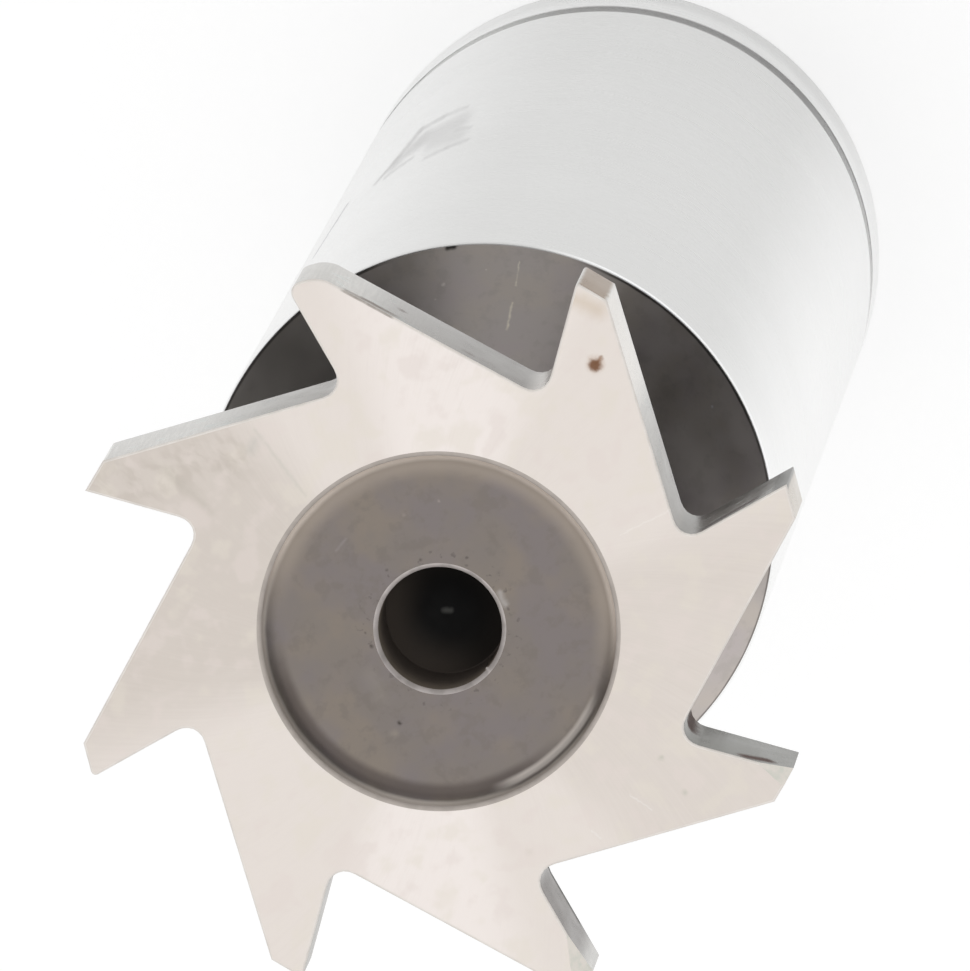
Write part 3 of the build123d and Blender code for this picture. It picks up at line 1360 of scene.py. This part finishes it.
@dataclass(frozen=True)
class HoleWall(Finish):
    """The drilled wall of a centre hole: brown at its mouth, then painted darker deeper down, a painted
    shade that ends in a near-black point.
    """

    name = "centre_hole_wall"
    # The colour goes from the mouth's to the darker wall's with depth, and the point is near black: painted
    # shade deep in the hole
    mouth: Colour = (0.15, 0.125, 0.10)
    wall: Colour = (0.085, 0.07, 0.06)
    point: Colour = (0.004, 0.0035, 0.0035)
    # The point's rim is painted lighter, most on one side: painted light on the drill point
    point_rim_light: Colour = (0.085, 0.07, 0.058)
    point_light_lobe: Lobe = Lobe(-170.0, 25.0, 80.0, 0.8)
    point_light_share: float = 0.2     # of the rim's colour outside the lobe
    point_radii: Pair = (0.45, 1.25)
    wall_radii: Pair = (1.28, 1.30)     # between the point and the wall
    front_mouth: float = RECESS_FLOOR
    depth_shade: Pair = (0.0, 1.3)      # depths between which the mouth's colour ends
    ragged: float = 0.5          # how far the noises move them
    patch_grain: Grain = (2.5, 3.0)
    ring_grains: float = 9.0     # on a millimetre along the hole
    ring_grain: Grain = (1.0,)
    roughness: float = 0.5
    depth: float = 0.006
    gloss: float = 0.15
    # A pale stroke on the drill point: a painted highlight
    painted_glint: Mark = Mark(
        (-0.165, -0.005, 50.126), 0.10, 0.12, (0.17, 0.17, 0.16), 1.0, (-0.015, -0.068, 50.126)
    )

    def paint(self, recipe: Recipe) -> None:
        """Writes the finish's nodes.

        Args:
            recipe: The material's node tree.
        """
        place = recipe.place()
        z = recipe.split(place)[2]
        radius = recipe.radius(place)
        depth = recipe.math("MINIMUM", z, self.front_mouth - z)
        patches = recipe.noise(place, *self.patch_grain)
        rings = recipe.noise(recipe.combine(0.0, 0.0, z * self.ring_grains), *self.ring_grain)
        ragged_depth = depth + patches.swing(self.ragged) + rings.swing(self.ragged)
        # painted shade, darker deeper in the hole
        shaded_wall = recipe.mix(recipe.ramp(ragged_depth, *self.depth_shade), self.mouth, self.wall)
        # painted light on the point's rim, strongest on one side
        lit = recipe.lobes(place, self.point_light_lobe) + self.point_light_share
        rim_light = recipe.ramp(radius, *self.point_radii) * lit
        on_point = recipe.mix(rim_light, self.point, self.point_rim_light)
        colour = recipe.mix(recipe.ramp(radius, *self.wall_radii), on_point, shaded_wall)
        recipe.steel(
            recipe.marked(place, colour, (self.painted_glint,)),
            self.roughness + patches.swing(self.uneven),
            recipe.bump(patches, self.depth),
            metallic=0.0,
            gloss=self.gloss,
        )


@dataclass(frozen=True)
class GroundShank(Finish):
    """The shank, ground between centres, with fine rings round it."""

    name = "ground_shank"
    plain: Colour = (0.635, 0.635, 0.625)
    # bright is the colour of the painted sheen and of the painted lighter rear end
    bright: Colour = (0.90, 0.90, 0.895)
    roughness: float = 0.26
    uneven: float = 0.12
    depth: float = 0.0010
    ring_grains: Pair = (0.15, 22.0)    # on a millimetre across and along the shank
    ring_grain: Grain = (1.0,)
    patch_grain: Grain = (0.25,)
    ring_tone: float = 0.2
    patch_tone: float = 0.25
    # Sectors round the axis painted brighter: a painted sheen on the shank
    painted_glints: tuple[Lobe, ...] = (Lobe(-43.4, 20.0, 45.0), Lobe(146.6, 20.0, 60.0, 0.8))
    # A thin band at the top of the shank, by the rim, painted nearly white over one sector: a painted
    # highlight
    rim_heights: Pair = (HEAD_REAR - 10.98, HEAD_REAR)
    rim_edge: float = 0.03
    rim: Colour = (0.97, 0.97, 0.97)
    rim_highlight_lobe: Lobe = Lobe(12.0, 28.0, 20.0, 0.9)
    # The rear end behind the groove is painted lighter: painted light
    rear_light_share: float = 0.35     # of the brighter colour behind the groove
    rear_edge: float = 0.1
    groove: Pair = (3.05, 3.95)
    groove_edge: float = 0.30
    # The groove is painted darker over one sector: painted shade in the groove
    groove_shade: Colour = (0.34, 0.33, 0.35)
    groove_shade_lobe: Lobe = Lobe(24.0, 28.0, 45.0, 0.55)
    squash: float = 0.18         # of the heights in the scuff, whose strokes run along the shank
    mark_warp: Pair = (9.0, 0.06)
    scuff: tuple[Mark, ...] = (
        Mark((-1.10, 6.25, 3.900), 0.36, 0.35, (0.46, 0.455, 0.45), 0.75, (-0.55, 6.33, 3.500)),
        Mark((-0.55, 6.33, 3.600), 0.52, 0.40, (0.48, 0.475, 0.47), 0.70, (0.35, 6.34, 3.500)),
        Mark((-0.10, 6.35, 3.900), 0.36, 0.35, (0.48, 0.475, 0.47), 0.60, (0.55, 6.33, 3.950)),
        Mark((-1.46, 6.18, 4.122), 0.14, 0.16, (0.40, 0.395, 0.39), 0.80, (-1.11, 6.25, 3.700)),
        Mark((-1.11, 6.25, 3.700), 0.20, 0.20, (0.40, 0.395, 0.39), 0.75, (-0.82, 6.30, 3.130)),
        Mark((-0.82, 6.30, 3.130), 0.14, 0.18, (0.44, 0.435, 0.43), 0.70, (-0.25, 6.35, 3.058)),
        Mark((-0.25, 6.35, 3.058), 0.10, 0.16, (0.46, 0.455, 0.45), 0.60, (0.35, 6.34, 3.059)),
        Mark((-1.20, 6.24, 4.197), 0.10, 0.16, (0.42, 0.415, 0.41), 0.60, (-0.56, 6.33, 4.042)),
        Mark((-0.11, 6.35, 4.283), 0.10, 0.14, (0.43, 0.425, 0.42), 0.60, (0.39, 6.34, 4.226)),
        Mark((0.39, 6.34, 4.226), 0.10, 0.14, (0.43, 0.425, 0.42), 0.60, (0.87, 6.29, 4.179)),
        Mark((0.38, 6.34, 3.750), 0.08, 0.14, (0.45, 0.445, 0.44), 0.60, (0.76, 6.30, 3.779)),
        Mark((-2.75, 5.73, 5.005), 0.10, 0.12, (0.36, 0.355, 0.37), 0.90, (-2.44, 5.86, 3.952)),
    )

    def paint(self, recipe: Recipe) -> None:
        """Writes the finish's nodes.

        Args:
            recipe: The material's node tree.
        """
        place = recipe.place()
        x, y, z = recipe.split(place)
        across, along = self.ring_grains
        rings = recipe.noise(recipe.combine(x * across, y * across, z * along), *self.ring_grain)
        patches = recipe.noise(place, *self.patch_grain)
        tone = patches.swing(self.patch_tone) + rings.swing(self.ring_tone)
        # painted sheen in the brighter sectors
        colour = recipe.mix(recipe.lobes(place, *self.painted_glints) + tone, self.plain, self.bright)
        squashed = recipe.combine(x, y, z * self.squash)
        colour = recipe.marked(recipe.warp(squashed, *self.mark_warp), colour, self.scuff)
        # painted light on the rear end
        behind = recipe.ramp(z, self.groove[0], self.groove[0] - self.rear_edge) * self.rear_light_share
        colour = recipe.mix(behind, colour, self.bright)
        # painted shade in the groove
        groove_shade_share = recipe.band(z, *self.groove, self.groove_edge)
        groove_shade_share = groove_shade_share * recipe.lobes(place, self.groove_shade_lobe)
        colour = recipe.mix(groove_shade_share, colour, self.groove_shade)
        # painted highlight along the rim
        rim_light = recipe.band(z, *self.rim_heights, self.rim_edge)
        colour = recipe.mix(rim_light * recipe.lobes(place, self.rim_highlight_lobe), colour, self.rim)
        roughness = self.roughness + rings.swing(self.uneven)
        recipe.steel(colour, roughness, recipe.bump(rings, self.depth))


class Zone(Enum):
    """The zones of the cutter's surface, in the order of the material slots."""

    SIDE_FACE = 0
    GASH_WALL = 1
    RECESS = 2
    SHOULDER = 3
    HOLE_WALL = 4
    SHANK = 5
    FLAT = 6
    EDGE = 7
    CHAMFER = 8
    RECESS_RIM = 9


@dataclass
class KeyseatCutter:
    """The whole cutter: shank, recess and tooth ring, closed into one mesh."""

    shank: Shank = field(default_factory=Shank)
    recess: Recess = field(default_factory=Recess)
    teeth: ToothRing = field(default_factory=ToothRing)
    edge_break: float = 0.025
    edge_steps: int = 2
    edge_slopes: Pair = (0.12, 0.992)   # of the faces that lie between flat and upright
    level_slope: float = 0.9999         # of a face that counts as level
    side_slope: float = 0.6             # of a face of the head that counts as a side face
    sharp_angle: float = 28.0
    smooth_angle: float = 20.0
    hole_gap: float = 0.005             # between the zones at the hole's edges
    rear_twist: int = 15
    front_twist: int = -22
    finishes: dict[Zone, Finish] = field(
        default_factory=lambda: {
            Zone.SIDE_FACE: GroundSide(),
            Zone.GASH_WALL: GashWall(),
            Zone.RECESS: UngroundSteel(),
            Zone.SHOULDER: UngroundSteel(
                name="shoulder_scale",
                scale=(0.50, 0.46, 0.44),
                brown=(0.52, 0.47, 0.43),
                violet=(0.50, 0.45, 0.44),
                mottled=(0.43, 0.395, 0.37),
                roughness=0.34,
                metallic=1.0,
                depth=0.0012,
                arcs=SHOULDER_PAINTED_SHADE,
                marks=SHOULDER_MARKS,
            ),
            Zone.HOLE_WALL: HoleWall(),
            Zone.SHANK: GroundShank(),
            Zone.FLAT: MattSteel(
                name="dressed_flat",
                pale=(0.87, 0.82, 0.75),
                stained=(0.76, 0.755, 0.68),
                grain=(5.0, 3.0),
                depth=0.003,
                marks=FLAT_MARKS,
            ),
            Zone.EDGE: MattSteel(marks=EDGE_MARKS),
            Zone.CHAMFER: MattSteel(
                name="hole_chamfer",
                pale=(0.64, 0.59, 0.57),
                stained=(0.48, 0.44, 0.42),
                metallic=0.5,
            ),
            Zone.RECESS_RIM: MattSteel(
                name="recess_rim",
                pale=(0.50, 0.45, 0.41),
                stained=(0.44, 0.395, 0.36),
                metallic=0.3,
            ),
        }
    )

    def build(self) -> bpy.types.Object:
        """Models the cutter.

        Returns:
            Its object, closed, in metres.
        """
        parts = [self.shank.build(), self.recess.build(), self.teeth.build()]
        bpy.ops.object.select_all(action="DESELECT")
        for part in parts:
            part.select_set(True)
        bpy.context.view_layer.objects.active = parts[0]
        bpy.ops.object.join()
        bench = Workbench(bpy.context.active_object)
        bench.part.name = "dressed_cutter"
        bench.bridge(HEAD_REAR, self.rear_twist)
        bench.bridge(FRONT, self.front_twist)
        bench.face_outwards()
        bench.merge_side(HEAD_REAR, self.teeth.inner_radius)
        bench.merge_side(FRONT, self.teeth.inner_radius)
        self.teeth.wear_corners(bench)
        self.teeth.wear_front(bench)
        self.teeth.grind_flats(bench)
        self.shank.round_rim(bench)
        self.recess.round_rim(bench)
        self.recess.raise_burr(bench)
        bench.soften(self.is_broken, self.edge_break, self.edge_steps)
        bench.face_outwards()
        bench.choose(Element.EDGE, self.bounds_side)
        bpy.ops.mesh.mark_sharp()
        cutter = bench.leave()
        self.sort_zones(cutter)
        bpy.ops.object.mode_set(mode="EDIT")
        bpy.ops.mesh.select_all(action="SELECT")
        bpy.ops.transform.resize(value=(TO_METRES,) * 3, center_override=(0, 0, 0))
        bpy.ops.object.mode_set(mode="OBJECT")
        bpy.ops.object.select_all(action="DESELECT")
        cutter.select_set(True)
        bpy.ops.object.shade_smooth_by_angle(angle=radians(self.smooth_angle))
        return cutter

    def is_broken(self, edge: bmesh.types.BMEdge) -> bool:
        """Tells whether an edge gets the fine edge break.

        The front edges of the teeth have their own rounding, and the cutting edges stay sharp.

        Args:
            edge: The edge, in millimetres.

        Returns:
            True where it does.
        """
        on_tooth = any(
            point.co.z > HEAD_REAR + TOUCHING
            and from_axis(point.co) > self.teeth.inner_radius
            for point in edge.verts
        )
        return not on_tooth and edge.calc_face_angle(0.0) > radians(self.sharp_angle)

    def bounds_side(self, edge: bmesh.types.BMEdge) -> bool:
        """Tells whether an edge bounds a flat side face of the head.

        Args:
            edge: The edge, in millimetres.

        Returns:
            True where it does, so that the side face is shaded as flat.
        """
        level = [abs(face.normal.z) > self.level_slope for face in edge.link_faces]
        on_side = all(
            min(abs(point.co.z - FRONT), abs(point.co.z - HEAD_REAR)) < TOUCHING
            and from_axis(point.co) > self.recess.radius
            for point in edge.verts
        )
        return on_side and any(level) and not all(level)

    def zone_of(self, centre: Vector, normal: Vector) -> Zone:
        """Tells which zone a face belongs to.

        Args:
            centre: The face's centre, in millimetres.
            normal: The face's outward direction.

        Returns:
            The zone.
        """
        radius = from_axis(centre)
        hole = self.recess.hole
        recess_top = FRONT - self.recess.rim_rounding
        on_edge = self.edge_slopes[0] < abs(normal.z) < self.edge_slopes[1]
        if self.teeth.on_flat(centre, normal):
            return Zone.FLAT
        if radius < hole.radius + self.hole_gap:
            return Zone.HOLE_WALL
        if radius < hole.radius + hole.chamfer + self.hole_gap:
            return Zone.CHAMFER
        if HEAD_REAR < centre.z < recess_top and radius < self.recess.radius:
            return Zone.RECESS
        if on_edge and centre.z > recess_top and radius < self.teeth.inner_radius:
            return Zone.RECESS_RIM
        if on_edge and centre.z > HEAD_REAR and radius > self.teeth.inner_radius:
            return Zone.EDGE
        if centre.z > HEAD_REAR - self.shank.head_rounding and radius > self.shank.back_ring:
            return Zone.SIDE_FACE if abs(normal.z) > self.side_slope else Zone.GASH_WALL
        if self.shank.rim_height + self.shank.rim_rounding / 2 < centre.z < HEAD_REAR:
            return Zone.SHOULDER
        return Zone.SHANK if centre.z < HEAD_REAR else Zone.SIDE_FACE

    def sort_zones(self, cutter: bpy.types.Object) -> None:
        """Gives each face its zone's material.

        Args:
            cutter: The cutter's object, in millimetres.
        """
        for zone in Zone:
            cutter.data.materials.append(self.finishes[zone].material())
        for face in cutter.data.polygons:
            face.material_index = self.zone_of(face.center, face.normal).value


@dataclass(frozen=True)
class Card:
    """A grey card beside the cutter that only its reflections show."""

    azimuth: float               # of the card's middle, seen from the cutter
    spread: float                # half its width, in degrees
    low: float                   # elevation of its lower edge
    high: float                  # elevation of its upper edge
    grey: float


@dataclass
class Studio:
    """The floor, the background and the light."""

    floor_radius: float = 4.0
    floor_points: int = 96
    floor_grey: float = 0.60
    floor_lift: float = 0.045    # makes up for what the cutter keeps from the floor
    card_distance: float = 0.11
    card_gap: float = 0.001      # between a card and the floor
    eye_height: float = 0.045
    fill: float = 0.9
    cards: tuple[Card, ...] = (
        Card(1.6, 39.0, -20.0, 45.0, 0.03),
        Card(61.6, 21.0, -20.0, 40.0, 0.46),
        Card(121.0, 40.5, -20.0, 35.0, 0.03),
    )

    def lay_floor(self) -> bpy.types.Object:
        """Lays the white floor.

        Returns:
            The floor.
        """
        bpy.ops.object.select_all(action="DESELECT")
        bpy.ops.mesh.primitive_circle_add(
            vertices=self.floor_points, radius=self.floor_radius, fill_type="NGON", location=(0, 0, 0)
        )
        floor = bpy.context.active_object
        floor.name = "floor"
        material, recipe = new_material("white_floor")
        colour = (self.floor_grey,) * 3 + (1.0,)
        paper = recipe.shader("ShaderNodeBsdfDiffuse", {"Color": colour})
        missing = 1.0 + self.floor_lift - self.floor_grey * self.fill
        glow = recipe.shader("ShaderNodeEmission", {"Strength": self.seen(recipe) * missing})
        recipe.end(recipe.shader("ShaderNodeAddShader", {0: paper, 1: glow}))
        floor.data.materials.append(material)
        return floor

    def seen(self, recipe: Recipe) -> Flow:
        """Masks the rays that show the background: the camera's, and gloss's and glass's."""
        path = recipe.node("ShaderNodeLightPath")
        rays = ("Is Camera Ray", "Is Glossy Ray", "Is Transmission Ray")
        camera, glossy, glass = (Flow(recipe, path.outputs[ray]) for ray in rays)
        return recipe.math("MINIMUM", camera + glossy + glass, 1.0)

    def light_world(self) -> None:
        """Makes the white background and the soft light that comes from all round."""
        world = bpy.data.worlds.new("studio")
        world.use_nodes = True
        bpy.context.scene.world = world
        recipe = Recipe(world.node_tree)
        seen = self.seen(recipe)
        strength = seen + (1.0 - seen) * self.fill
        sky = recipe.shader("ShaderNodeBackground", {"Color": (1, 1, 1, 1), "Strength": strength})
        recipe.end(sky, "ShaderNodeOutputWorld")

    def hang_card(self, number: int, card: Card) -> bpy.types.Object:
        """Hangs a card.

        Args:
            number: The card's number, for its name.
            card: Where it hangs and how grey it is.

        Returns:
            The card.
        """
        lowest = self.card_gap - self.eye_height
        low = max(self.card_distance * tan(radians(card.low)), lowest)
        high = self.card_distance * tan(radians(card.high))
        width = 2 * self.card_distance * tan(radians(card.spread))
        bpy.ops.object.select_all(action="DESELECT")
        bpy.ops.mesh.primitive_plane_add(size=1.0)
        board = bpy.context.active_object
        board.name = f"card_{number}"
        turn = Matrix.Rotation(radians(card.azimuth), 4, "Z") @ Matrix.Rotation(radians(-90), 4, "Y")
        size = Matrix.Diagonal((high - low, width, 1.0, 1.0))
        middle = polar(self.card_distance, card.azimuth, self.eye_height + (low + high) / 2)
        board.data.transform(Matrix.Translation(middle) @ turn @ size)
        material, recipe = new_material(f"card_{number}")
        colour = (card.grey,) * 3 + (1.0,)
        recipe.end(recipe.shader("ShaderNodeEmission", {"Color": colour}))
        board.data.materials.append(material)
        board.visible_camera = False
        board.visible_diffuse = False
        board.visible_shadow = False
        board.visible_transmission = False
        return board

    def build(self) -> None:
        """Sets up the whole studio."""
        self.light_world()
        self.lay_floor()
        for number, card in enumerate(self.cards):
            self.hang_card(number, card)


@dataclass(frozen=True)
class PhotoCamera:
    """The camera of the photograph, as a place and a direction over the cutter."""

    focal_pixels: float = 19607.0
    width_pixels: float = 970.0
    height_pixels: float = 971.0
    sensor: float = 36.0
    clip: Pair = (0.01, 20.0)    # in metres
    distance: float = 417.5      # from the middle of the head's front face, along the view
    tilt: float = 10.469         # between the cutter's axis and the view
    tilt_towards: float = 64.783
    roll: float = 23.416
    head_across: float = 438.52  # the middle of the front face in the picture
    head_down: float = 631.53

    def build(self) -> bpy.types.Object:
        """Makes the camera and gives it to the scene.

        Returns:
            The camera.
        """
        lens = bpy.data.cameras.new("photo_camera")
        lens.sensor_fit = "HORIZONTAL"
        lens.sensor_width = self.sensor
        lens.lens = self.focal_pixels / self.width_pixels * self.sensor
        lens.clip_start, lens.clip_end = self.clip
        scale = self.distance / self.focal_pixels
        across = (self.head_across - self.width_pixels / 2) * scale
        up = (self.height_pixels / 2 - self.head_down) * scale
        direction = radians(self.tilt_towards)
        tilt_axis = Vector((-sin(direction), cos(direction), 0))
        seen = Matrix.Rotation(radians(-self.tilt), 3, tilt_axis) @ Matrix.Rotation(
            radians(self.roll), 3, "Z"
        )
        turn = seen.transposed()
        place = Vector((0, 0, FRONT)) + turn @ Vector((-across, -up, self.distance))
        camera = bpy.data.objects.new("photo_camera", lens)
        camera.matrix_world = Matrix.Translation(place * TO_METRES) @ turn.to_4x4()
        bpy.context.scene.collection.objects.link(camera)
        bpy.context.scene.camera = camera
        return camera


def main() -> None:
    """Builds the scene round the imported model."""
    logging.basicConfig(level=logging.INFO, format="%(name)s: %(message)s")
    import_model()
    bpy.context.scene.view_settings.view_transform = "Standard"
    cutter = KeyseatCutter().build()
    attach(cutter, "root")
    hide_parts(NODE)
    log.info("%s: %d faces", cutter.name, len(cutter.data.polygons))
    Studio().build()
    log.info("studio: floor, background and cards")
    camera = PhotoCamera().build()
    log.info("camera at %s", tuple(round(value, 4) for value in camera.location))


if __name__ == "__main__":
    main()
